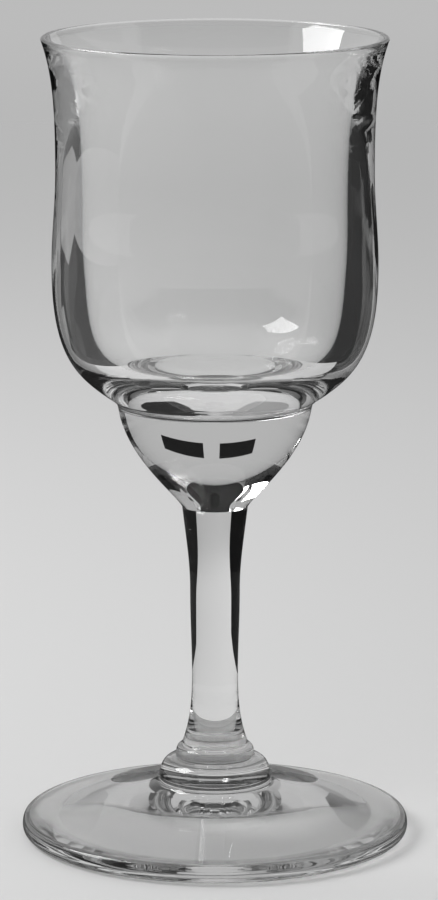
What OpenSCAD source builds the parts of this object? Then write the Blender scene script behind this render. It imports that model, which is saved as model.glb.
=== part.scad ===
// Small stemmed liqueur glass. A blown bowl stands on a solid knop, a drawn stem, a stepped
// collar of three rings and a domed foot. The pieces are turned about Z, meet at flat seats, and
// the foot stands on Z = 0.

/* [Bowl] */
// Outer diameter across the flared lip
rim_d = 42.4; // [40.5:0.1:46]
// Outer diameter at the waist, the slimmest place of the cup's wall
waist_d = 39; // [36:0.1:39.8]
// Outer diameter at the belly, low on the cup
belly_d = 40.1; // [38.6:0.1:44]
// Outer diameter at the crease, where the bowl sits on the knop
crease_d = 23.9; // [20:0.1:25]
// Height of the lip above the crease
cup_h = 45.8; // [42:0.1:52]
// Height of the waist above the crease
waist_up = 29.8; // [26:0.1:32]
// Height of the belly above the crease
belly_up = 17.3; // [15:0.1:20]
// Rounding of the crease
crease_round = 1.7; // [1:0.1:2.2]
// Lean of the lip, out from upright, in degrees
lip_lean = 20; // [8:1:26]
// Slope of the cup's underside where it leaves the crease, in degrees
underside_slope = 36; // [20:1:45]

/* [Inside of the bowl] */
// Thickness of the fire-polished lip
lip_t = 0.7; // [0.6:0.05:1.2]
// Thickness of the wall at the waist
waist_t = 3; // [2:0.05:3.6]
// Thickness of the wall at the belly
belly_t = 3.8; // [2.8:0.05:4.6]
// Lean of the lip's inside, out from upright, in degrees
inside_lean = 26; // [14:1:32]
// Lean of the wall's inside against its outside, in degrees, which thickens the wall downward
wall_taper = 3.8; // [2:0.1:5]
// Thickness of the floor at its middle, above the crease
floor_t = 5; // [3.8:0.1:6]
// Inner diameter where the floor turns up into the wall
floor_d = 26; // [23:0.1:27.4]
// Rise of the floor from its middle to its edge
floor_rise = 1.4; // [0.8:0.1:2]
// Slope of the floor at its edge, in degrees
floor_slope = 30; // [18:1:38]

/* [Knop] */
// Height of the solid knop, from the stem to the crease
knop_h = 12.5; // [10.5:0.1:15]
// Slope of the knop where it leaves the stem, in degrees
knop_slope = 60; // [50:1:70]
// Lean of the knop's side at the crease, in from upright, in degrees
knop_lean = 8; // [2:1:14]

/* [Stem] */
// Length of the stem between its two joints
stem_h = 30.2; // [26:0.1:36]
// Diameter where the stem meets the knop
stem_top_d = 8.16; // [7.4:0.02:9]
// Diameter under the stem's upper spread
stem_neck_d = 6.2; // [5.9:0.02:7]
// Diameter at the slimmest place
stem_slim_d = 5.74; // [5:0.02:5.88]
// Diameter where the stem meets the collar
stem_foot_d = 8.2; // [7.4:0.02:9]
// Length of the stem's upper spread
stem_top_spread = 10.7; // [8:0.1:13]
// Length of the stem's lower spread
stem_foot_spread = 8.5; // [6:0.1:11]

/* [Collar] */
// Diameter of the upper ring
upper_ring_d = 9.9; // [9.2:0.1:11]
// Height of the upper ring
upper_ring_h = 1.6; // [1.2:0.1:2.4]
// Diameter of the middle ring
middle_ring_d = 14; // [12.6:0.1:15]
// Height of the middle ring
middle_ring_h = 2.5; // [1.8:0.1:3.2]
// Diameter of the lower ring, where it flares out onto the foot
lower_ring_d = 16.6; // [16.2:0.1:19]
// Height of the lower ring
lower_ring_h = 1.5; // [1:0.1:2.4]
// Slope of the lower ring where it leaves the foot, in degrees
flare_slope = 30; // [20:1:40]
// Fall of a ring's shoulder below the seat on its top
ring_drop = 0.55; // [0.3:0.05:0.8]

/* [Foot] */
// Diameter of the foot
foot_d = 48.3; // [44:0.1:54]
// Thickness of the foot at its edge
foot_edge_t = 2.4; // [1.8:0.1:3]
// Rise of the foot's top from its edge to the collar
foot_rise = 3.5; // [2.6:0.1:4.4]
// Slope of the foot's top inside its edge, in degrees
brim_slope = 8; // [4:1:12]
// Slope of the foot's top at the collar, in degrees
neck_slope = 19; // [12:1:25]
// Rounding of the edge's upper side, in from the foot's outline
brim_round = 0.9; // [0.6:0.1:1.5]
// Rounding of the edge's lower side, in from the foot's outline
foot_round = 1.5; // [1:0.1:2]
// Width of the flat ring that the foot stands on
rest_w = 3; // [2:0.1:5]
// Depth of the hollow under the foot
foot_hollow = 3.3; // [2.4:0.1:3.8]
// Slope of the hollow where it meets the flat ring, in degrees
hollow_slope = 12; // [8:1:16]

/* [Hidden] */
$fn = 120;
// Straight steps that stand for one curved stretch of an outline
steps = 14;
glass = [0.84, 0.89, 0.91, 0.45];
up = 90;
down = 270;
inward = 180;

// Heights of the seats where one piece stands on the next
lower_ring_z = foot_edge_t + foot_rise;
middle_ring_z = lower_ring_z + lower_ring_h;
upper_ring_z = middle_ring_z + middle_ring_h;
stem_z = upper_ring_z + upper_ring_h;
knop_z = stem_z + stem_h;
bowl_z = knop_z + knop_h;
// Heights of the bowl's main places
belly_z = bowl_z + belly_up;
waist_z = bowl_z + waist_up;
lip_z = bowl_z + cup_h - lip_t / 2;

// A curve from p to q that leaves p along one heading and comes to q along another, in degrees
// from the outward direction. The pulls are its handles, as shares of the distance from p to q.
function curve(p, heading_p, q, heading_q, pull_p = 0.36, pull_q = 0.36) =
    let (
        reach = norm(q - p),
        a = p + reach * pull_p * [cos(heading_p), sin(heading_p)],
        b = q - reach * pull_q * [cos(heading_q), sin(heading_q)]
    )
    [for (i = [0 : steps]) let (t = i / steps, s = 1 - t)
        s * s * s * p + 3 * s * s * t * a + 3 * s * t * t * b + t * t * t * q];

// A half circle from angle 0 to 180 about a centre
function half_round(centre, r) =
    [for (i = [1 : steps - 1]) centre + r * [cos(180 * i / steps), sin(180 * i / steps)]];

// Outside of the bowl, from the crease up to the lip
function bowl_outside() =
    let (
        crease = [crease_d / 2, bowl_z],
        underside = crease + crease_round * [1, 1.05],
        belly = [belly_d / 2, belly_z],
        waist = [waist_d / 2, waist_z],
        lip = [rim_d / 2, lip_z]
    )
    concat(
        curve(crease, up - knop_lean, underside, underside_slope),
        curve(underside, underside_slope, belly, up, 0.26, 0.63),
        curve(belly, up, waist, up),
        curve(waist, up, lip, up - lip_lean, 0.43, 0.28)
    );

// Inside of the bowl, from the lip down to the middle of the floor
function bowl_inside() =
    let (
        lip = [rim_d / 2 - lip_t, lip_z],
        waist = [waist_d / 2 - waist_t, waist_z],
        belly = [belly_d / 2 - belly_t, belly_z],
        floor_middle = [0, bowl_z + floor_t],
        floor_edge = floor_middle + [floor_d / 2, floor_rise],
        slant = down - wall_taper
    )
    concat(
        curve(lip, down - inside_lean, waist, slant),
        curve(waist, slant, belly, slant),
        curve(belly, slant, floor_edge, inward + floor_slope, 0.52, 0.22),
        curve(floor_edge, inward + floor_slope, floor_middle, inward, 0.3, 0.45)
    );

module bowl() {
    lip_middle = [rim_d / 2 - lip_t / 2, lip_z];
    color(glass)
        rotate_extrude()
            polygon(concat(
                [[0, bowl_z]],
                bowl_outside(),
                half_round(lip_middle, lip_t / 2),
                bowl_inside()
            ));
}

module knop() {
    joint = [stem_top_d / 2, knop_z];
    crease = [crease_d / 2, bowl_z];
    color(glass)
        rotate_extrude()
            polygon(concat(
                [[0, knop_z]],
                curve(joint, knop_slope, crease, up - knop_lean, 0.14, 0.41),
                [[0, bowl_z]]
            ));
}

module stem() {
    foot_end = [stem_foot_d / 2, stem_z];
    slim = [stem_slim_d / 2, stem_z + stem_foot_spread];
    neck = [stem_neck_d / 2, knop_z - stem_top_spread];
    top_end = [stem_top_d / 2, knop_z];
    spread = 20;
    color(glass)
        rotate_extrude()
            polygon(concat(
                [[0, stem_z]],
                curve(foot_end, up + spread, slim, up, 0.26, 0.48),
                curve(neck, up, top_end, up - spread / 3, 0.34, 0.46),
                [[0, knop_z]]
            ));
}

// One ring of the collar: flat below, with a rounded edge that slopes in to the flat seat on top
module ring(z, h, d, seat_d) {
    base_r = d / 2;
    seat_r = seat_d / 2;
    step = base_r - seat_r;
    shoulder = [seat_r + 0.3 * step, z + h - ring_drop / 2];
    color(glass)
        rotate_extrude()
            polygon(concat(
                [[0, z]],
                curve([base_r, z], up + 10, shoulder, inward - 20, 0.5, 0.34),
                [[seat_r, z + h], [0, z + h]]
            ));
}

module upper_ring() ring(upper_ring_z, upper_ring_h, upper_ring_d, stem_foot_d);

module middle_ring() ring(middle_ring_z, middle_ring_h, middle_ring_d, upper_ring_d);

// The lowest ring of the collar, a hollow flare that spreads onto the foot
module lower_ring() {
    base = [lower_ring_d / 2, lower_ring_z];
    seat = [middle_ring_d / 2, middle_ring_z];
    color(glass)
        rotate_extrude()
            polygon(concat(
                [[0, lower_ring_z]],
                curve(base, inward - flare_slope, seat, up + 5, 0.45, 0.5),
                [[0, middle_ring_z]]
            ));
}

module foot() {
    foot_r = foot_d / 2;
    rest_outside = [foot_r - foot_round, 0];
    rest_inside = rest_outside - [rest_w, 0];
    edge = [foot_r, foot_edge_t / 2];
    brim = [foot_r - brim_round, foot_edge_t];
    seat = [lower_ring_d / 2, lower_ring_z];
    color(glass)
        rotate_extrude()
            polygon(concat(
                curve([0, foot_hollow], 0, rest_inside, -hollow_slope),
                curve(rest_outside, 0, edge, up, 0.45, 0.45),
                curve(edge, up, brim, inward, 0.45, 0.45),
                curve(brim, inward - brim_slope, seat, inward - neck_slope),
                [[0, lower_ring_z]]
            ));
}

bowl();
knop();
stem();
upper_ring();
middle_ring();
lower_ring();
foot();
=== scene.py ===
"""Looks of a small stemmed liqueur glass: clear hot-worked glass on a pale floor in soft light."""
import logging
import math
from dataclasses import dataclass, field
from enum import Enum
from typing import Any

import bmesh
import bpy
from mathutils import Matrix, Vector


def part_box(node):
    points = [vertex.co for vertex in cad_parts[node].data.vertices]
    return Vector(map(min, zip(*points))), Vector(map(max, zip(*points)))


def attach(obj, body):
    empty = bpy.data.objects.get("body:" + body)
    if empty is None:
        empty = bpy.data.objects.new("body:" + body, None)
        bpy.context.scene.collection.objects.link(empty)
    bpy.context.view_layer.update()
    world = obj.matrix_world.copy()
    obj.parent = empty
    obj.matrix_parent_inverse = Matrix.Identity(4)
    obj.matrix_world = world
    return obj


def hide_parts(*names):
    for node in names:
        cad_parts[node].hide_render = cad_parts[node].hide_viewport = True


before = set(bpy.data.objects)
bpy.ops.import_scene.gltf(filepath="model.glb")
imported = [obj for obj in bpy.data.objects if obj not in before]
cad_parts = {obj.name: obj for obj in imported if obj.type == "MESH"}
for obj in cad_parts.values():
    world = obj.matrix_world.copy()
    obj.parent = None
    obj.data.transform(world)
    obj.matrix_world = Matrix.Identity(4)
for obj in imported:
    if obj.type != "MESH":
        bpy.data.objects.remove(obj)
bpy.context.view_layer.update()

log = logging.getLogger("glass")
Point = tuple[float, float]
Place = tuple[float, float, float]
Colour = tuple[float, float, float]
MM = 0.001
# Digits that are kept of a length in millimetres that is measured in the frame
MEASURED_DIGITS = 4
# Points of an outline that lie closer than this, in millimetres, are one point
SAME_POINT = 1e-6
# Headings of an outline, in degrees from the outward direction
UP, IN, DOWN = 90.0, 180.0, 270.0
# Radius of the joint between stem and knop, in millimetres
STEM_TOP_R = 4.08
# Lean of the side where knop and bowl meet, in from upright, in degrees
CREASE_LEAN = 8.0
# Handles of a plain curve, as shares of the distance between its ends
EVEN_PULLS: Point = (0.36, 0.36)
# Name of the mark on those points of an outline that lie on a joint
FUSED = "fused"
# Sockets of a Mix node that mixes colours
MIX_FACTOR, MIX_FIRST, MIX_SECOND, MIX_RESULT = 0, 6, 7, 2


class Node(Enum):
    """The pieces of the glass, by their names in the frame."""

    BOWL = "bowl"
    KNOP = "knop"
    STEM = "stem"
    UPPER_RING = "upper_ring"
    MIDDLE_RING = "middle_ring"
    LOWER_RING = "lower_ring"
    FOOT = "foot"


class Slot(Enum):
    """The record's material slots."""

    BOWL = "clear_bowl_glass"
    KNOP = "clear_knop_glass"
    STEM = "clear_stem_glass"
    COLLAR = "clear_collar_glass"
    FOOT = "clear_foot_glass"


class Value:
    """A number in a node tree, with the operators that shader maths needs."""

    def __init__(self, maker: "Maker", socket: bpy.types.NodeSocket) -> None:
        """Wraps one output socket of a tree."""
        self.maker = maker
        self.socket = socket

    def maths(self, operation: str, *others: Any) -> "Value":
        """Adds one Math node.

        Args:
            operation: The node's operation.
            others: Its further inputs, as numbers or values.

        Returns:
            The node's result.
        """
        inputs = dict(enumerate((self, *others)))
        return self.maker.make("ShaderNodeMath", {"operation": operation}, inputs)

    def __add__(self, other: Any) -> "Value":
        """Sum."""
        return self.maths("ADD", other)

    __radd__ = __add__

    def __mul__(self, other: Any) -> "Value":
        """Product."""
        return self.maths("MULTIPLY", other)

    __rmul__ = __mul__

    def __sub__(self, other: Any) -> "Value":
        """Difference."""
        return self.maths("SUBTRACT", other)

    def __rsub__(self, other: Any) -> "Value":
        """Difference from a number."""
        return (self * -1.0) + other

    def __truediv__(self, other: Any) -> "Value":
        """Quotient."""
        return self.maths("DIVIDE", other)

    def __gt__(self, other: Any) -> "Value":
        """One where this is more than the other, else zero."""
        return self.maths("GREATER_THAN", other)

    def __lt__(self, other: Any) -> "Value":
        """One where this is less than the other, else zero."""
        return self.maths("LESS_THAN", other)

    def smooth(self, low: float, high: float) -> "Value":
        """Eases from 0 at low to 1 at high."""
        return self.maker.make(
            "ShaderNodeMapRange",
            {"interpolation_type": "SMOOTHSTEP"},
            {"Value": self, "From Min": low, "From Max": high},
        )


class Maker:
    """Makes and links the nodes of one tree."""

    def __init__(self, tree: bpy.types.NodeTree) -> None:
        """Keeps the tree that the nodes go into."""
        self.tree = tree

    def node(
        self, kind: str, settings: dict[str, Any] | None = None, inputs: dict[Any, Any] | None = None
    ) -> bpy.types.Node:
        """Adds a node.

        Args:
            kind: The node's type name.
            settings: Its properties, which are set first.
            inputs: Its sockets by name or number, as plain values or links.

        Returns:
            The new node.
        """
        made = self.tree.nodes.new(kind)
        for name, setting in (settings or {}).items():
            setattr(made, name, setting)
        for key, given in (inputs or {}).items():
            socket = made.inputs[key]
            if isinstance(given, Value):
                self.tree.links.new(given.socket, socket)
            elif isinstance(given, bpy.types.NodeSocket):
                self.tree.links.new(given, socket)
            else:
                socket.default_value = given
        return made

    def make(
        self,
        kind: str,
        settings: dict[str, Any] | None = None,
        inputs: dict[Any, Any] | None = None,
        output: Any = 0,
    ) -> Value:
        """Adds a node and wraps one of its outputs.

        Args:
            kind: The node's type name.
            settings: Its properties.
            inputs: Its sockets, as plain values or links.
            output: The output to wrap, by name or number.

        Returns:
            That output as a value.
        """
        return Value(self, self.node(kind, settings, inputs).outputs[output])


def new_material(name: str) -> tuple[bpy.types.Material, Maker]:
    """Starts an empty node material.

    Args:
        name: The material's name.

    Returns:
        The material and the maker of its nodes.
    """
    material = bpy.data.materials.new(name)
    material.use_nodes = True
    material.node_tree.nodes.clear()
    return material, Maker(material.node_tree)


@dataclass(frozen=True)
class Grain:
    """A soft random pattern in the glass or on it."""

    scale: float
    detail: float
    roughness: float
    # The values between which the pattern comes in, where it isn't used as it is
    span: Point = (0.0, 1.0)
    # Its scale along the axis, against its scale across, so that it runs up and down the glass
    upright: float = 1.0

    def noise(self, maker: Maker, place: Value) -> Value:
        """Adds the pattern as it is.

        Args:
            maker: The maker of the material's nodes.
            place: The place on the piece.

        Returns:
            The pattern's value there.
        """
        if self.upright != 1.0:
            scale = (1.0, 1.0, self.upright)
            place = maker.make("ShaderNodeMapping", inputs={"Vector": place, "Scale": scale})
        return maker.make(
            "ShaderNodeTexNoise",
            inputs={
                "Vector": place,
                "Scale": self.scale,
                "Detail": self.detail,
                "Roughness": self.roughness,
            },
        )

    def marks(self, maker: Maker, place: Value) -> Value:
        """Adds the pattern eased over its span, so that it leaves marks apart from each other."""
        return self.noise(maker, place).smooth(*self.span)


@dataclass(frozen=True)
class ClearGlass:
    """Clear colourless glass with the faint marks of hot working."""

    name: str
    ior: float = 1.5
    clear: Colour = (0.968, 0.969, 0.968)
    # Cords, which are streaks of slightly darker glass that also leave the surface wavy
    cord: Colour = (0.945, 0.948, 0.946)
    cords: Grain = Grain(55.0, 3.0, 0.45, span=(0.42, 0.72), upright=0.3)
    wave_depth_mm: float = 0.02
    # Fine lines drawn up the wall
    lines: Grain = Grain(330.0, 1.0, 0.4, upright=0.05)
    line_depth_mm: float = 0.0
    # Faint traces of wiping
    wipes: Grain = Grain(120.0, 4.0, 0.6, span=(0.55, 0.8))
    wipe_roughness: float = 0.012
    # Scuffs from standing, up to a height over the floor
    scuffs: Grain = Grain(900.0, 2.0, 0.7, span=(0.5, 0.75))
    scuff_roughness: float = 0.16
    scuff_to_mm: float = 0.0
    # The share of the light that goes straight on through the glass to the floor
    clear_shade: float = 0.8

    def build(self) -> bpy.types.Material:
        """Makes the material.

        Returns:
            The finished material.
        """
        material, maker = new_material(self.name)
        place = maker.make("ShaderNodeTexCoord", output="Object")
        streaks = self.cords.noise(maker, place)
        tint = maker.make(
            "ShaderNodeMix",
            {"data_type": "RGBA"},
            {
                MIX_FACTOR: streaks.smooth(*self.cords.span),
                MIX_FIRST: (*self.clear, 1.0),
                MIX_SECOND: (*self.cord, 1.0),
            },
            output=MIX_RESULT,
        )
        roughness = self.wipes.marks(maker, place) * self.wipe_roughness
        height = streaks * self.wave_depth_mm
        if self.line_depth_mm:
            height = height + self.lines.noise(maker, place) * self.line_depth_mm
        if self.scuff_to_mm:
            z = maker.make("ShaderNodeSeparateXYZ", inputs={0: place}, output="Z")
            low = 1.0 - z.smooth(0.0, self.scuff_to_mm * MM)
            roughness = roughness + low * self.scuffs.marks(maker, place) * self.scuff_roughness
        bump = maker.make("ShaderNodeBump", inputs={"Strength": 1.0, "Distance": MM, "Height": height})
        shade = maker.make("ShaderNodeLightPath", output="Is Shadow Ray")
        surface = maker.make(
            "ShaderNodeBsdfPrincipled",
            inputs={
                "Base Color": tint,
                "Roughness": roughness,
                "IOR": self.ior,
                "Transmission Weight": 1.0,
                "Alpha": 1.0 - shade * self.clear_shade,
                "Normal": bump,
            },
        )
        maker.node("ShaderNodeOutputMaterial", inputs={"Surface": surface})
        return material


@dataclass(frozen=True)
class FusedJoint:
    """The place inside the glass where two gathers were joined hot and nothing shows."""

    name: str = "fused_joint"

    def build(self) -> bpy.types.Material:
        """Makes the material.

        Returns:
            The finished material, which lets everything through.
        """
        material, maker = new_material(self.name)
        surface = maker.make("ShaderNodeBsdfPrincipled", inputs={"Alpha": 0.0, "Roughness": 0.0})
        maker.node("ShaderNodeOutputMaterial", inputs={"Surface": surface})
        return material


@dataclass(frozen=True)
class PaleSheet:
    """The matt pale sheet that the glass stands on, which fades into the background."""

    name: str = "pale_sheet"
    grey: float = 0.62
    roughness: float = 0.7
    shine: float = 0.1
    # Distances from the glass, in metres, between which it fades
    fade: Point = (0.25, 1.0)

    def build(self) -> bpy.types.Material:
        """Makes the material.

        Returns:
            The finished material.
        """
        material, maker = new_material(self.name)
        place = maker.make("ShaderNodeTexCoord", output="Object")
        out = maker.make("ShaderNodeVectorMath", {"operation": "LENGTH"}, {0: place}, output="Value")
        paper = maker.make(
            "ShaderNodeBsdfPrincipled",
            inputs={
                "Base Color": (self.grey, self.grey, self.grey, 1.0),
                "Roughness": self.roughness,
                "Specular IOR Level": self.shine,
            },
        )
        gone = maker.make("ShaderNodeBsdfTransparent")
        surface = maker.make(
            "ShaderNodeMixShader", inputs={0: out.smooth(*self.fade), 1: paper, 2: gone}
        )
        maker.node("ShaderNodeOutputMaterial", inputs={"Surface": surface})
        return material


class Often(Enum):
    """How often light has crossed the glass's surface or turned at it, between two limits."""

    ANY = (-1.0, 99.0)
    NEVER = (-1.0, 0.5)
    EVER = (0.5, 99.0)
    UP_TO_THREE = (-1.0, 3.5)
    FOUR_OR_MORE = (3.5, 99.0)

    def holds(self, count: Value) -> Value:
        """One where a count lies between the limits, else zero."""
        low, high = self.value
        return (count > low) * (count < high)


@dataclass(frozen=True)
class CardFinish:
    """Matt card that only some of the light meets, sorted by what the glass has done to it."""

    name: str
    grey: float = 0.012
    crossings: Often = Often.UP_TO_THREE
    turns: Often = Often.NEVER
    # The share of that light that the card stops
    cover: float = 1.0

    def build(self) -> bpy.types.Material:
        """Makes the material.

        Returns:
            The finished material.
        """
        material, maker = new_material(self.name)
        crossed = maker.make("ShaderNodeLightPath", output="Transmission Depth")
        turned = maker.make("ShaderNodeLightPath", output="Glossy Depth")
        met = self.crossings.holds(crossed) * self.turns.holds(turned) * self.cover
        gone = maker.make("ShaderNodeBsdfTransparent")
        matt = maker.make(
            "ShaderNodeBsdfDiffuse", inputs={"Color": (self.grey, self.grey, self.grey, 1.0)}
        )
        surface = maker.make("ShaderNodeMixShader", inputs={0: met, 1: gone, 2: matt})
        maker.node("ShaderNodeOutputMaterial", inputs={"Surface": surface})
        return material


BENT = CardFinish("bent_card")
DEEP = CardFinish("deep_card", crossings=Often.FOUR_OR_MORE, turns=Often.ANY)
SHADE = CardFinish("shade_card", grey=0.035, turns=Often.EVER)
DUSK = CardFinish("dusk_card", grey=0.16, turns=Often.EVER)
MID = CardFinish("mid_card", grey=0.7, turns=Often.EVER)
FLOOR_MID = CardFinish("floor_mid_card", grey=0.35, turns=Often.EVER)
EVERY = CardFinish("every_card", crossings=Often.ANY, turns=Often.ANY)
SCRIM = CardFinish("scrim_card", crossings=Often.ANY, turns=Often.ANY, cover=0.55)


@dataclass
class Outline:
    """Half of a turned piece's section, drawn from the axis round to the axis, in millimetres."""

    stations: list[Point] = field(default_factory=list)
    fused: list[bool] = field(default_factory=list)

    def line(self, *points: Point, fused: bool = False) -> "Outline":
        """Goes on through points.

        Args:
            points: Radius and height of each point.
            fused: True where the points lie on a joint with another piece.

        Returns:
            The outline itself.
        """
        for point in points:
            if self.stations and math.dist(point, self.stations[-1]) < SAME_POINT:
                self.fused[-1] = self.fused[-1] or fused
                continue
            self.stations.append(point)
            self.fused.append(fused)
        return self

    def curve(
        self, end: Point, leave: float, arrive: float, pulls: Point = EVEN_PULLS, steps: int = 24
    ) -> "Outline":
        """Goes on along a curve.

        Args:
            end: Radius and height where it ends.
            leave: Heading at its start, in degrees from the outward direction.
            arrive: Heading at its end.
            pulls: Its two handles, as shares of the distance to the end.
            steps: How many straight steps stand for it.

        Returns:
            The outline itself.
        """
        start = self.stations[-1]
        reach = math.dist(start, end)
        one = math.radians(leave)
        two = math.radians(arrive)
        a = (start[0] + reach * pulls[0] * math.cos(one), start[1] + reach * pulls[0] * math.sin(one))
        b = (end[0] - reach * pulls[1] * math.cos(two), end[1] - reach * pulls[1] * math.sin(two))
        for step in range(1, steps + 1):
            t = step / steps
            s = 1.0 - t
            weights = (s * s * s, 3 * s * s * t, 3 * s * t * t, t * t * t)
            corners = (start, a, b, end)
            self.line(tuple(sum(w * c[k] for w, c in zip(weights, corners)) for k in (0, 1)))
        return self

    def half_round(self, middle: Point, radius: float, steps: int = 12) -> "Outline":
        """Goes over the top of a round edge, from its outer to its inner side.

        Args:
            middle: Radius and height of the edge's centre.
            radius: The edge's radius.
            steps: How many straight steps stand for it.

        Returns:
            The outline itself.
        """
        for step in range(1, steps + 1):
            angle = math.pi * step / steps
            self.line((middle[0] + radius * math.cos(angle), middle[1] + radius * math.sin(angle)))
        return self


@dataclass
class Lathe:
    """The Geometry Nodes tree that turns an outline into a closed piece of glass."""

    segments: int = 192
    # Edges that bend by more than this, in degrees, stay sharp
    corner_angle: float = 40.0
    # Points closer than this, in metres, are welded, which closes the seam and the poles
    weld: float = 1e-6
    # Keeps a point at the start of a row from being counted into the row before
    row_nudge: float = 1e-4
    # A place is on a joint when its mark is more than this
    joint_mark: float = 0.99
    tree: bpy.types.NodeTree | None = None
    ids: dict[str, str] = field(default_factory=dict)

    def socket(self, name: str, kind: str, way: str = "INPUT") -> None:
        """Adds a named input or output to the tree."""
        made = self.tree.interface.new_socket(name, in_out=way, socket_type=kind)
        self.ids[name] = made.identifier

    def build(self) -> None:
        """Makes the tree, which bends a sheet to the outline, marks its joints and dresses it."""
        self.tree = bpy.data.node_groups.new("turned_piece", "GeometryNodeTree")
        self.socket("Outline", "NodeSocketGeometry")
        self.socket("Segments", "NodeSocketInt")
        self.socket("Glass", "NodeSocketMaterial")
        self.socket("Fused joint", "NodeSocketMaterial")
        self.socket("Piece", "NodeSocketGeometry", "OUTPUT")
        maker = Maker(self.tree)
        given = dict(maker.node("NodeGroupInput").outputs.items())
        mark = maker.make("GeometryNodeInputNamedAttribute", {"data_type": "FLOAT"}, {"Name": FUSED})
        closed = self.turned_sheet(maker, given, mark)
        dressed = self.dressed(maker, given, closed, mark > self.joint_mark)
        maker.node("NodeGroupOutput", inputs={"Piece": dressed})

    def turned_sheet(
        self, maker: Maker, given: dict[str, bpy.types.NodeSocket], mark: Value
    ) -> Value:
        """Bends a sheet round the axis, with a row of points for each station, and closes it.

        Args:
            maker: The maker of the tree's nodes.
            given: The tree's inputs.
            mark: The outline's marks of joints.

        Returns:
            The closed surface, with the marks on its points.
        """
        outline = given["Outline"]
        segments = Value(maker, given["Segments"])
        rows = maker.make(
            "GeometryNodeAttributeDomainSize", {"component": "MESH"}, {0: outline}, output="Point Count"
        )
        columns = segments + 1.0
        sheet = maker.make(
            "GeometryNodeMeshGrid", inputs={"Vertices X": rows, "Vertices Y": columns}, output="Mesh"
        )
        index = maker.make("GeometryNodeInputIndex")
        row = (index / columns + self.row_nudge).maths("FLOOR")
        column = index - row * columns
        station = maker.make(
            "GeometryNodeSampleIndex",
            {"data_type": "FLOAT_VECTOR", "domain": "POINT"},
            {"Geometry": outline, "Value": maker.make("GeometryNodeInputPosition"), "Index": row},
        )
        split = maker.node("ShaderNodeSeparateXYZ", inputs={0: station}).outputs
        radius = Value(maker, split["X"])
        angle = column * math.tau / segments
        across = radius * angle.maths("COSINE")
        along = radius * angle.maths("SINE")
        place = maker.make("ShaderNodeCombineXYZ", inputs={"X": across, "Y": along, "Z": split["Z"]})
        turned = maker.make("GeometryNodeSetPosition", inputs={"Geometry": sheet, "Position": place})
        station_mark = maker.make(
            "GeometryNodeSampleIndex",
            {"data_type": "FLOAT", "domain": "POINT"},
            {"Geometry": outline, "Value": mark, "Index": row},
        )
        marked = maker.make(
            "GeometryNodeStoreNamedAttribute",
            {"data_type": "FLOAT", "domain": "POINT"},
            {"Geometry": turned, "Name": FUSED, "Value": station_mark},
        )
        return maker.make(
            "GeometryNodeMergeByDistance", inputs={"Geometry": marked, "Distance": self.weld}
        )

    def dressed(
        self, maker: Maker, given: dict[str, bpy.types.NodeSocket], closed: Value, fused: Value
    ) -> Value:
        """Smooths a closed surface between its corners and gives it its materials.

        Args:
            maker: The maker of the tree's nodes.
            given: The tree's inputs.
            closed: The closed surface.
            fused: One where the surface lies on a joint, else zero.

        Returns:
            The finished piece.
        """
        smooth = maker.make("GeometryNodeSetShadeSmooth", {"domain": "FACE"}, {"Geometry": closed})
        bend = maker.make("GeometryNodeInputMeshEdgeAngle")
        corner = (bend > math.radians(self.corner_angle)).maths("MAXIMUM", fused)
        sharp = maker.make(
            "GeometryNodeSetShadeSmooth",
            {"domain": "EDGE"},
            {"Geometry": smooth, "Selection": corner, "Shade Smooth": False},
        )
        solid = maker.make("GeometryNodeRealizeInstances", inputs={"Geometry": sharp})
        clear = maker.make(
            "GeometryNodeSetMaterial", inputs={"Geometry": solid, "Material": given["Glass"]}
        )
        return maker.make(
            "GeometryNodeSetMaterial",
            inputs={"Geometry": clear, "Selection": fused, "Material": given["Fused joint"]},
        )

    def turn(
        self, name: str, outline: Outline, glass: bpy.types.Material, joint: bpy.types.Material
    ) -> bpy.types.Object:
        """Turns an outline into a finished mesh object.

        Args:
            name: The object's name.
            outline: The piece's half section.
            glass: The material of the open surfaces.
            joint: The material of the fused joints.

        Returns:
            The object, at the origin, with no modifier left on it.
        """
        strip = bpy.data.meshes.new(name + "_outline")
        points = [(r * MM, 0.0, z * MM) for r, z in outline.stations]
        strip.from_pydata(points, [(i, i + 1) for i in range(len(points) - 1)], [])
        flags = strip.attributes.new(FUSED, "FLOAT", "POINT")
        flags.data.foreach_set("value", [float(flag) for flag in outline.fused])
        carrier = bpy.data.objects.new(name + "_outline", strip)
        bpy.context.scene.collection.objects.link(carrier)
        modifier = carrier.modifiers.new("turned", "NODES")
        modifier.node_group = self.tree
        modifier[self.ids["Segments"]] = self.segments
        modifier[self.ids["Glass"]] = glass
        modifier[self.ids["Fused joint"]] = joint
        graph = bpy.context.evaluated_depsgraph_get()
        mesh = bpy.data.meshes.new_from_object(carrier.evaluated_get(graph), depsgraph=graph)
        mesh.name = name
        bpy.data.objects.remove(carrier)
        bpy.data.meshes.remove(strip)
        self.face_outwards(mesh)
        piece = bpy.data.objects.new(name, mesh)
        bpy.context.scene.collection.objects.link(piece)
        return piece

    @staticmethod
    def face_outwards(mesh: bpy.types.Mesh) -> None:
        """Turns a closed mesh's faces outwards where its volume shows that they point in."""
        work = bmesh.new()
        work.from_mesh(mesh)
        if work.calc_volume(signed=True) < 0.0:
            bmesh.ops.reverse_faces(work, faces=work.faces[:])
        work.to_mesh(mesh)
        work.free()


@dataclass(frozen=True)
class Extent:
    """How far a piece reaches in the frame, in millimetres."""

    radius: float
    low: float
    high: float


def extent(node: Node) -> Extent:
    """Measures a piece in the frame.

    Args:
        node: The piece.

    Returns:
        Its radius and the heights of its lower and upper ends.
    """
    lowest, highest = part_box(node.value)
    reach = (highest.x, lowest.z, highest.z)
    return Extent(*(round(length / MM, MEASURED_DIGITS) for length in reach))


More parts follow.
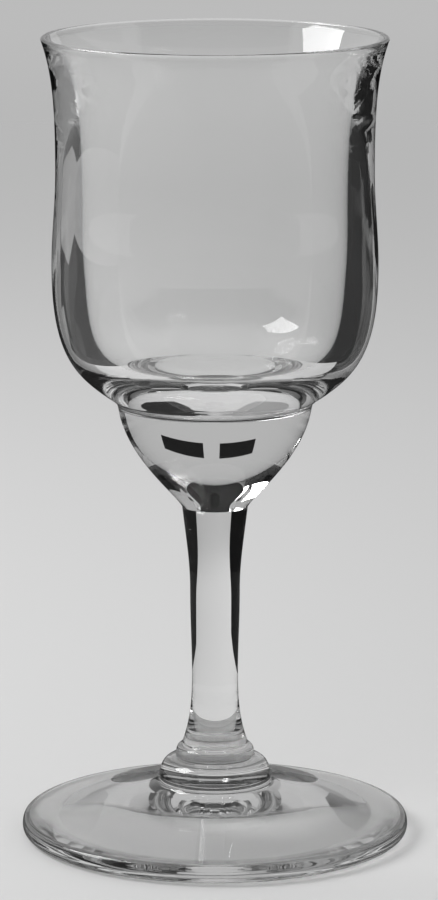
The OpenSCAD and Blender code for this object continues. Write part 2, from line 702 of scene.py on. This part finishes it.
@dataclass
class TurnedPiece:
    """One piece of the glass that is turned about the upright axis, with its sizes in millimetres."""

    node: Node
    slot: Slot
    glass: ClearGlass

    def outline(self) -> Outline:
        """The piece's half section, which each kind of piece draws."""
        raise NotImplementedError

    def build(self, lathe: Lathe, joint: bpy.types.Material) -> bpy.types.Object:
        """Makes the piece, dresses it and sets it in the frame.

        Args:
            lathe: The tree that turns outlines.
            joint: The material of the fused joints.

        Returns:
            The finished object.
        """
        material = bpy.data.materials.get(self.glass.name) or self.glass.build()
        piece = lathe.turn(self.node.value + "_glass", self.outline(), material, joint)
        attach(piece, "root")
        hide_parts(self.node.value)
        return piece


@dataclass
class Bowl(TurnedPiece):
    """The blown cup with its flared lip, its belly and its closed floor."""

    crease_round: float = 1.7
    # Height of the crease's rounding, as a share of its width
    crease_rise: float = 1.05
    crease_lean: float = CREASE_LEAN
    underside_slope: float = 36.0
    belly_r: float = 20.05
    belly_up: float = 17.3
    belly_pulls: Point = (0.26, 0.63)
    waist_r: float = 19.5
    waist_up: float = 29.8
    lip_t: float = 0.7
    lip_lean: float = 20.0
    lip_pulls: Point = (0.43, 0.28)
    inside_lean: float = 26.0
    waist_t: float = 3.0
    belly_t: float = 3.8
    wall_taper: float = 3.8
    floor_t: float = 5.0
    floor_r: float = 13.0
    floor_rise: float = 1.4
    floor_slope: float = 30.0
    floor_edge_pulls: Point = (0.52, 0.22)
    floor_pulls: Point = (0.3, 0.45)

    def outline(self) -> Outline:
        """The cup's section: seat, outside, lip, inside and floor."""
        cup = extent(self.node)
        crease_r = extent(Node.KNOP).radius
        seat_z = cup.low
        underside = (crease_r + self.crease_round, seat_z + self.crease_rise * self.crease_round)
        belly = (self.belly_r, seat_z + self.belly_up)
        waist = (self.waist_r, seat_z + self.waist_up)
        lip = (cup.radius, cup.high - self.lip_t / 2)
        section = Outline()
        section.line((0.0, seat_z), (crease_r, seat_z), fused=True)
        section.curve(underside, UP - self.crease_lean, self.underside_slope, steps=20)
        section.curve(belly, self.underside_slope, UP, self.belly_pulls, steps=36)
        section.curve(waist, UP, UP)
        section.curve(lip, UP, UP - self.lip_lean, self.lip_pulls, steps=28)
        section.half_round((lip[0] - self.lip_t / 2, lip[1]), self.lip_t / 2)
        inner_waist = (waist[0] - self.waist_t, waist[1])
        inner_belly = (belly[0] - self.belly_t, belly[1])
        floor_z = seat_z + self.floor_t
        floor_edge = (self.floor_r, floor_z + self.floor_rise)
        slant = DOWN - self.wall_taper
        floor_heading = IN + self.floor_slope
        section.curve(inner_waist, DOWN - self.inside_lean, slant, steps=28)
        section.curve(inner_belly, slant, slant)
        section.curve(floor_edge, slant, floor_heading, self.floor_edge_pulls, steps=36)
        section.curve((0.0, floor_z), floor_heading, IN, self.floor_pulls)
        return section


@dataclass
class Knop(TurnedPiece):
    """The solid knop between the bowl and the stem."""

    base_r: float = STEM_TOP_R
    base_slope: float = 60.0
    crease_lean: float = CREASE_LEAN
    pulls: Point = (0.14, 0.41)

    def outline(self) -> Outline:
        """The knop's section, between its two fused faces."""
        knop = extent(self.node)
        base = (self.base_r, knop.low)
        crease = (knop.radius, knop.high)
        section = Outline()
        section.line((0.0, knop.low), base, fused=True)
        section.curve(crease, self.base_slope, UP - self.crease_lean, self.pulls, steps=36)
        section.line(crease, (0.0, knop.high), fused=True)
        return section


@dataclass
class Stem(TurnedPiece):
    """The drawn stem, slim in its lower half and spread at both ends."""

    slim_r: float = 2.87
    slim_up: float = 8.5
    neck_r: float = 3.1
    neck_down: float = 10.7
    top_r: float = STEM_TOP_R
    foot_spread: float = 20.0
    foot_pulls: Point = (0.26, 0.48)
    top_spread: float = 20.0 / 3
    top_pulls: Point = (0.34, 0.46)

    def outline(self) -> Outline:
        """The stem's section, between its two fused faces."""
        stem = extent(self.node)
        foot_end = (stem.radius, stem.low)
        slim = (self.slim_r, stem.low + self.slim_up)
        neck = (self.neck_r, stem.high - self.neck_down)
        top_end = (self.top_r, stem.high)
        section = Outline()
        section.line((0.0, stem.low), foot_end, fused=True)
        section.curve(slim, UP + self.foot_spread, UP, self.foot_pulls, steps=28)
        section.curve(neck, UP, UP, steps=12)
        section.curve(top_end, UP, UP - self.top_spread, self.top_pulls, steps=28)
        section.line(top_end, (0.0, stem.high), fused=True)
        return section


@dataclass
class CollarRing(TurnedPiece):
    """One ring of the stepped collar, with a rounded edge that slopes in to its seat."""

    seated: Node = Node.STEM
    drop: float = 0.55
    # Place of the shoulder, as a share of the step from the seat out to the edge
    shoulder_share: float = 0.3
    edge_lean: float = 10.0
    shoulder_slope: float = 20.0
    pulls: Point = (0.5, 0.34)

    def outline(self) -> Outline:
        """The ring's section, between its two fused faces."""
        ring = extent(self.node)
        seat_r = extent(self.seated).radius
        step = ring.radius - seat_r
        shoulder = (seat_r + self.shoulder_share * step, ring.high - self.drop / 2)
        section = Outline()
        section.line((0.0, ring.low), (ring.radius, ring.low), fused=True)
        section.curve(shoulder, UP + self.edge_lean, IN - self.shoulder_slope, self.pulls)
        section.line((seat_r, ring.high), (0.0, ring.high), fused=True)
        return section


@dataclass
class FlaredRing(TurnedPiece):
    """The lowest ring, which spreads in a hollow curve to the foot."""

    seated: Node = Node.MIDDLE_RING
    flare_slope: float = 30.0
    seat_lean: float = 5.0
    pulls: Point = (0.45, 0.5)

    def outline(self) -> Outline:
        """The ring's section, between its two fused faces."""
        ring = extent(self.node)
        seat = (extent(self.seated).radius, ring.high)
        section = Outline()
        section.line((0.0, ring.low), (ring.radius, ring.low), fused=True)
        section.curve(seat, IN - self.flare_slope, UP + self.seat_lean, self.pulls, steps=20)
        section.line(seat, (0.0, ring.high), fused=True)
        return section


@dataclass
class Foot(TurnedPiece):
    """The disc foot, which rises to the collar and is hollowed so that it stands on a ring."""

    seated: Node = Node.LOWER_RING
    edge_t: float = 2.4
    brim_round: float = 0.9
    foot_round: float = 1.5
    round_pulls: Point = (0.45, 0.45)
    rest_w: float = 3.0
    hollow: float = 3.3
    hollow_slope: float = 12.0
    brim_slope: float = 8.0
    seat_slope: float = 19.0

    def outline(self) -> Outline:
        """The foot's section, from the hollow round the edge to the fused face."""
        disc = extent(self.node)
        rest_outside = (disc.radius - self.foot_round, disc.low)
        rest_inside = (rest_outside[0] - self.rest_w, disc.low)
        edge = (disc.radius, disc.low + self.edge_t / 2)
        brim = (disc.radius - self.brim_round, disc.low + self.edge_t)
        seat = (extent(self.seated).radius, disc.high)
        section = Outline()
        section.line((0.0, disc.low + self.hollow))
        section.curve(rest_inside, 0.0, -self.hollow_slope, steps=30)
        section.line(rest_outside)
        section.curve(edge, 0.0, UP, self.round_pulls, steps=14)
        section.curve(brim, UP, IN, self.round_pulls, steps=14)
        section.curve(seat, IN - self.brim_slope, IN - self.seat_slope, steps=30)
        section.line(seat, (0.0, disc.high), fused=True)
        return section


class Way(Enum):
    """Which way a card stands, by the number of the axis that it is square to."""

    ALONG = 0
    ACROSS = 1
    LEVEL = 2


class Seen(Enum):
    """What meets a card."""

    THROUGH_GLASS = "light that the glass lets through"
    MIRRORED = "light that the glass mirrors"
    SHADOW = "light on its way to the floor"


@dataclass(frozen=True)
class Card:
    """One flat sheet of the stage, in metres."""

    name: str
    way: Way
    # Its place on the axis that it is square to, and its corners on the other two
    at: float
    shape: tuple[Point, ...]
    finish: CardFinish = BENT
    seen: Seen = Seen.THROUGH_GLASS

    def corners(self) -> list[list[float]]:
        """The card's corners in the frame.

        Returns:
            The three coordinates of each corner.
        """
        corners = [list(corner) for corner in self.shape]
        for corner in corners:
            corner.insert(self.way.value, self.at)
        return corners


def oblong(firsts: Point, seconds: Point) -> tuple[Point, ...]:
    """The corners of an oblong card.

    Args:
        firsts: Its two ends on the first of its axes.
        seconds: Its two ends on the second.

    Returns:
        The four corners in order.
    """
    (a, b), (c, d) = firsts, seconds
    return ((a, c), (b, c), (b, d), (a, d))


# Places of the cards at the left and right of the glass
LEFT_X, RIGHT_X = -0.0735, 0.083
# Cards that overlap in one plane would hide each other, so that they stand this far apart
CARD_GAP = 0.0015
# Heights of the cards on the floor, and of the dark mat there that only mirror images show
FLOOR_CARD_Z, MAT_Z = 0.0001, -0.00005
# Flags close to the stem, whose slanting lower edges make its dark bands taper, as (y, z)
LEFT_FLAG_X, RIGHT_FLAG_X = -0.04, 0.045
LEFT_FLAG: tuple[Point, ...] = (
    (0.011, 0.009), (0.069, 0.0095), (0.083, 0.0178), (0.109, 0.0294), (0.109, 0.042), (0.011, 0.042),
)
RIGHT_FLAG: tuple[Point, ...] = ((0.011, 0.009), (0.054, 0.0096), (0.124, 0.0447), (0.011, 0.0447))
# Ends and top of the cards at the left and right
SIDE_FRONT_Y, SIDE_BACK_Y, SIDE_TOP_Z = -0.02, 0.7, 0.13
# The line between the dusky card and the paler one at the left, which makes the left wall's dark
# wedge, as (y, z)
DUSK_LINE: tuple[Point, ...] = (
    (0.3, 0.0), (0.2, 0.018), (0.157, 0.028), (0.131, 0.034), (0.104, 0.039), (0.088, 0.042),
    (0.071, 0.049), (0.056, 0.056), (SIDE_FRONT_Y, 0.057),
)
LEFT_DUSK = ((SIDE_FRONT_Y, 0.0), *DUSK_LINE)
LEFT_MID = (
    *reversed(DUSK_LINE), (SIDE_BACK_Y, 0.0), (SIDE_BACK_Y, SIDE_TOP_Z), (SIDE_FRONT_Y, SIDE_TOP_Z),
)
SIDE_CARD = oblong((SIDE_FRONT_Y, SIDE_BACK_Y), (0.0, SIDE_TOP_Z))
# The two cards on the floor behind the glass, as (x, y)
LEFT_HALF = oblong((-1.1, -0.02), (0.1, 1.1))
RIGHT_HALF = oblong((0.02, 1.1), (0.1, 1.1))
# Place and heights of the two boards that the knop shows upside down
BOARD_Y = 0.9
BOARD_ZS: Point = (0.222, 0.362)
# The far cards at both sides, as (y, z)
FAR_SIDE = oblong((-0.75, 0.05), (0.25, 1.6))
CARDS: tuple[Card, ...] = (
    Card("left_flag", Way.ALONG, LEFT_FLAG_X, LEFT_FLAG),
    Card("left_dusk", Way.ALONG, LEFT_X, LEFT_DUSK, DUSK),
    Card("left_mid", Way.ALONG, LEFT_X, LEFT_MID, MID),
    Card("left_floor", Way.LEVEL, FLOOR_CARD_Z, LEFT_HALF, FLOOR_MID),
    Card("right_floor", Way.LEVEL, FLOOR_CARD_Z, RIGHT_HALF, SHADE),
    Card("right_flag", Way.ALONG, RIGHT_FLAG_X, RIGHT_FLAG),
    Card("right_wing", Way.ALONG, RIGHT_X, oblong((0.0, 0.06), (0.041, 0.12))),
    Card("right_shade", Way.ALONG, RIGHT_X + CARD_GAP, SIDE_CARD, SHADE),
    Card("left_board", Way.ACROSS, BOARD_Y, oblong((-0.29, -0.031), BOARD_ZS)),
    Card("right_board", Way.ACROSS, BOARD_Y, oblong((0.079, 0.42), BOARD_ZS)),
    Card("front", Way.ACROSS, -0.75, oblong((-1.2, 1.2), (0.2, 1.6)), DEEP),
    Card("left_side", Way.ALONG, -1.0, FAR_SIDE, DEEP),
    Card("right_side", Way.ALONG, 1.0, FAR_SIDE, DEEP),
    Card("front_shade", Way.ACROSS, -0.77, oblong((-1.2, 1.2), (0.0, 1.6)), SHADE),
    Card("front_floor", Way.LEVEL, FLOOR_CARD_Z, oblong((-0.6, 0.6), (-0.75, -0.04)), DUSK),
    Card("front_mirror", Way.ACROSS, -0.8, oblong((-1.5, 1.5), (0.0, 1.6)), EVERY, Seen.MIRRORED),
    Card("ceiling", Way.LEVEL, 1.2, oblong((-0.6, 0.6), (-1.0, 0.25)), EVERY),
    Card("key_scrim", Way.LEVEL, 0.2, oblong((-0.8, -0.34), (-0.6, 0.6)), SCRIM, Seen.SHADOW),
    Card("mat", Way.LEVEL, MAT_Z, oblong((-1.2, 1.2), (-1.0, 1.2)), EVERY, Seen.MIRRORED),
    Card("right_mirror", Way.ALONG, 0.9, oblong((0.1, 1.2), (0.0, 0.5)), EVERY, Seen.MIRRORED),
)


@dataclass(frozen=True)
class SoftLamp:
    """A square lamp that faces the glass, in metres."""

    name: str
    place: Place
    width: float
    radiance: float
    # False when the glass neither mirrors nor bends the lamp's own face into view
    shows: bool = True
    # After this many steps of its path, light finds only this share of the lamp, which calms glints
    dims_after: float = math.inf
    dims_to: float = 0.05
    aim: Place = (0.0, 0.0, 0.05)

    def build(self) -> None:
        """Adds the lamp to the stage."""
        light = bpy.data.lights.new(self.name, "AREA")
        light.shape = "RECTANGLE"
        light.size = self.width
        light.size_y = self.width
        light.energy = self.radiance * math.pi * self.width * self.width
        if math.isfinite(self.dims_after):
            light.use_nodes = True
            maker = Maker(light.node_tree)
            steps = maker.make("ShaderNodeLightPath", output="Ray Depth")
            strength = (steps < self.dims_after) * (1.0 - self.dims_to) + self.dims_to
            glow = light.node_tree.nodes["Emission"]
            light.node_tree.links.new(strength.socket, glow.inputs["Strength"])
        lamp = bpy.data.objects.new(self.name, light)
        lamp.location = self.place
        way = Vector(self.aim) - Vector(self.place)
        lamp.rotation_euler = way.to_track_quat("-Z", "Y").to_euler()
        lamp.visible_glossy = self.shows
        lamp.visible_transmission = self.shows
        bpy.context.scene.collection.objects.link(lamp)


@dataclass
class Studio:
    """The plain stage: pale floor, background, soft lamps, cards and camera, in metres."""

    floor: PaleSheet = PaleSheet()
    floor_reach: Point = (-1.2, 1.2)
    floor_z: float = -0.0001
    background: float = 0.5
    key: SoftLamp = SoftLamp("key", (-0.42, 0.03, 0.42), 0.3, 10.0, dims_after=7.5)
    fill: SoftLamp = SoftLamp("fill", (-0.1, 0.75, 0.9), 0.8, 0.8, shows=False)
    # How often light may go on: in all and through glass, and off mirrors or past clear faces
    bounces: int = 40
    mirror_bounces: int = 32
    camera_place: Place = (0.0, -0.540, 0.158)
    camera_dip: float = 11.44
    lens_mm: float = 178.2
    sensor_mm: float = 36.0
    # Sideways shift of the picture, and the picture's height, in pixels
    shift_px: float = 4.0
    picture_px: float = 900.0

    def build(self) -> None:
        """Makes the stage, the lights and the camera."""
        floor = Card("floor", Way.LEVEL, self.floor_z, oblong(self.floor_reach, self.floor_reach))
        self.sheet(floor, self.floor.build())
        for card in CARDS:
            made = self.sheet(card, bpy.data.materials.get(card.finish.name) or card.finish.build())
            made.visible_camera = False
            made.visible_diffuse = False
            made.visible_transmission = card.seen is Seen.THROUGH_GLASS
            made.visible_glossy = card.seen is Seen.MIRRORED
            made.visible_shadow = card.seen is Seen.SHADOW
        self.light()
        self.camera()

    @staticmethod
    def sheet(card: Card, material: bpy.types.Material) -> bpy.types.Object:
        """Adds a flat sheet to the stage.

        Args:
            card: Its name and its shape.
            material: Its material.

        Returns:
            The stage object.
        """
        corners = card.corners()
        mesh = bpy.data.meshes.new(card.name)
        mesh.from_pydata(corners, [], [tuple(range(len(corners)))])
        mesh.materials.append(material)
        made = bpy.data.objects.new(card.name, mesh)
        bpy.context.scene.collection.objects.link(made)
        return made

    def light(self) -> None:
        """Adds the soft lamps and the even background light, and lets light cross all the glass."""
        self.key.build()
        self.fill.build()
        world = bpy.data.worlds.new("pale_studio")
        world.use_nodes = True
        grey = self.background
        world.node_tree.nodes["Background"].inputs["Color"].default_value = (grey, grey, grey, 1.0)
        scene = bpy.context.scene
        scene.world = world
        scene.view_settings.view_transform = "Standard"
        scene.cycles.max_bounces = self.bounces
        scene.cycles.transmission_bounces = self.bounces
        scene.cycles.glossy_bounces = self.mirror_bounces
        scene.cycles.transparent_max_bounces = self.mirror_bounces

    def camera(self) -> None:
        """Adds the camera at the photograph's viewing angle."""
        lens = bpy.data.cameras.new("camera")
        lens.sensor_width = self.sensor_mm
        lens.lens = self.lens_mm
        lens.shift_x = self.shift_px / self.picture_px
        camera = bpy.data.objects.new("camera", lens)
        camera.location = self.camera_place
        camera.rotation_euler = (math.pi / 2 - math.radians(self.camera_dip), 0.0, 0.0)
        bpy.context.scene.collection.objects.link(camera)
        bpy.context.scene.camera = camera


def glass_pieces() -> list[TurnedPiece]:
    """The pieces of the glass, from the lip down.

    Returns:
        The pieces, each with its finish.
    """
    # The bowl is tinted darker than the other pieces, though all are one glass: painted shade that
    # darkens the cup
    bowl_glass = ClearGlass(
        "bowl_glass",
        clear=(0.955, 0.956, 0.955),
        cord=(0.925, 0.928, 0.926),
        line_depth_mm=0.008,
    )
    knop_glass = ClearGlass("knop_glass", wave_depth_mm=0.05)
    stem_glass = ClearGlass("stem_glass")
    collar_glass = ClearGlass("collar_glass")
    foot_glass = ClearGlass("foot_glass", wave_depth_mm=0.06, scuff_to_mm=0.3, clear_shade=0.4)
    return [
        Bowl(Node.BOWL, Slot.BOWL, bowl_glass),
        Knop(Node.KNOP, Slot.KNOP, knop_glass),
        Stem(Node.STEM, Slot.STEM, stem_glass),
        CollarRing(Node.UPPER_RING, Slot.COLLAR, collar_glass, seated=Node.STEM),
        CollarRing(Node.MIDDLE_RING, Slot.COLLAR, collar_glass, seated=Node.UPPER_RING),
        FlaredRing(Node.LOWER_RING, Slot.COLLAR, collar_glass),
        Foot(Node.FOOT, Slot.FOOT, foot_glass),
    ]


def main() -> None:
    """Builds the stage and the pieces of the glass in order."""
    logging.basicConfig(level=logging.INFO, format="%(message)s")
    Studio().build()
    lathe = Lathe()
    lathe.build()
    joint = FusedJoint().build()
    for part in glass_pieces():
        piece = part.build(lathe, joint)
        log.info("%s: %d faces", piece.name, len(piece.data.polygons))


if __name__ == "__main__":
    main()
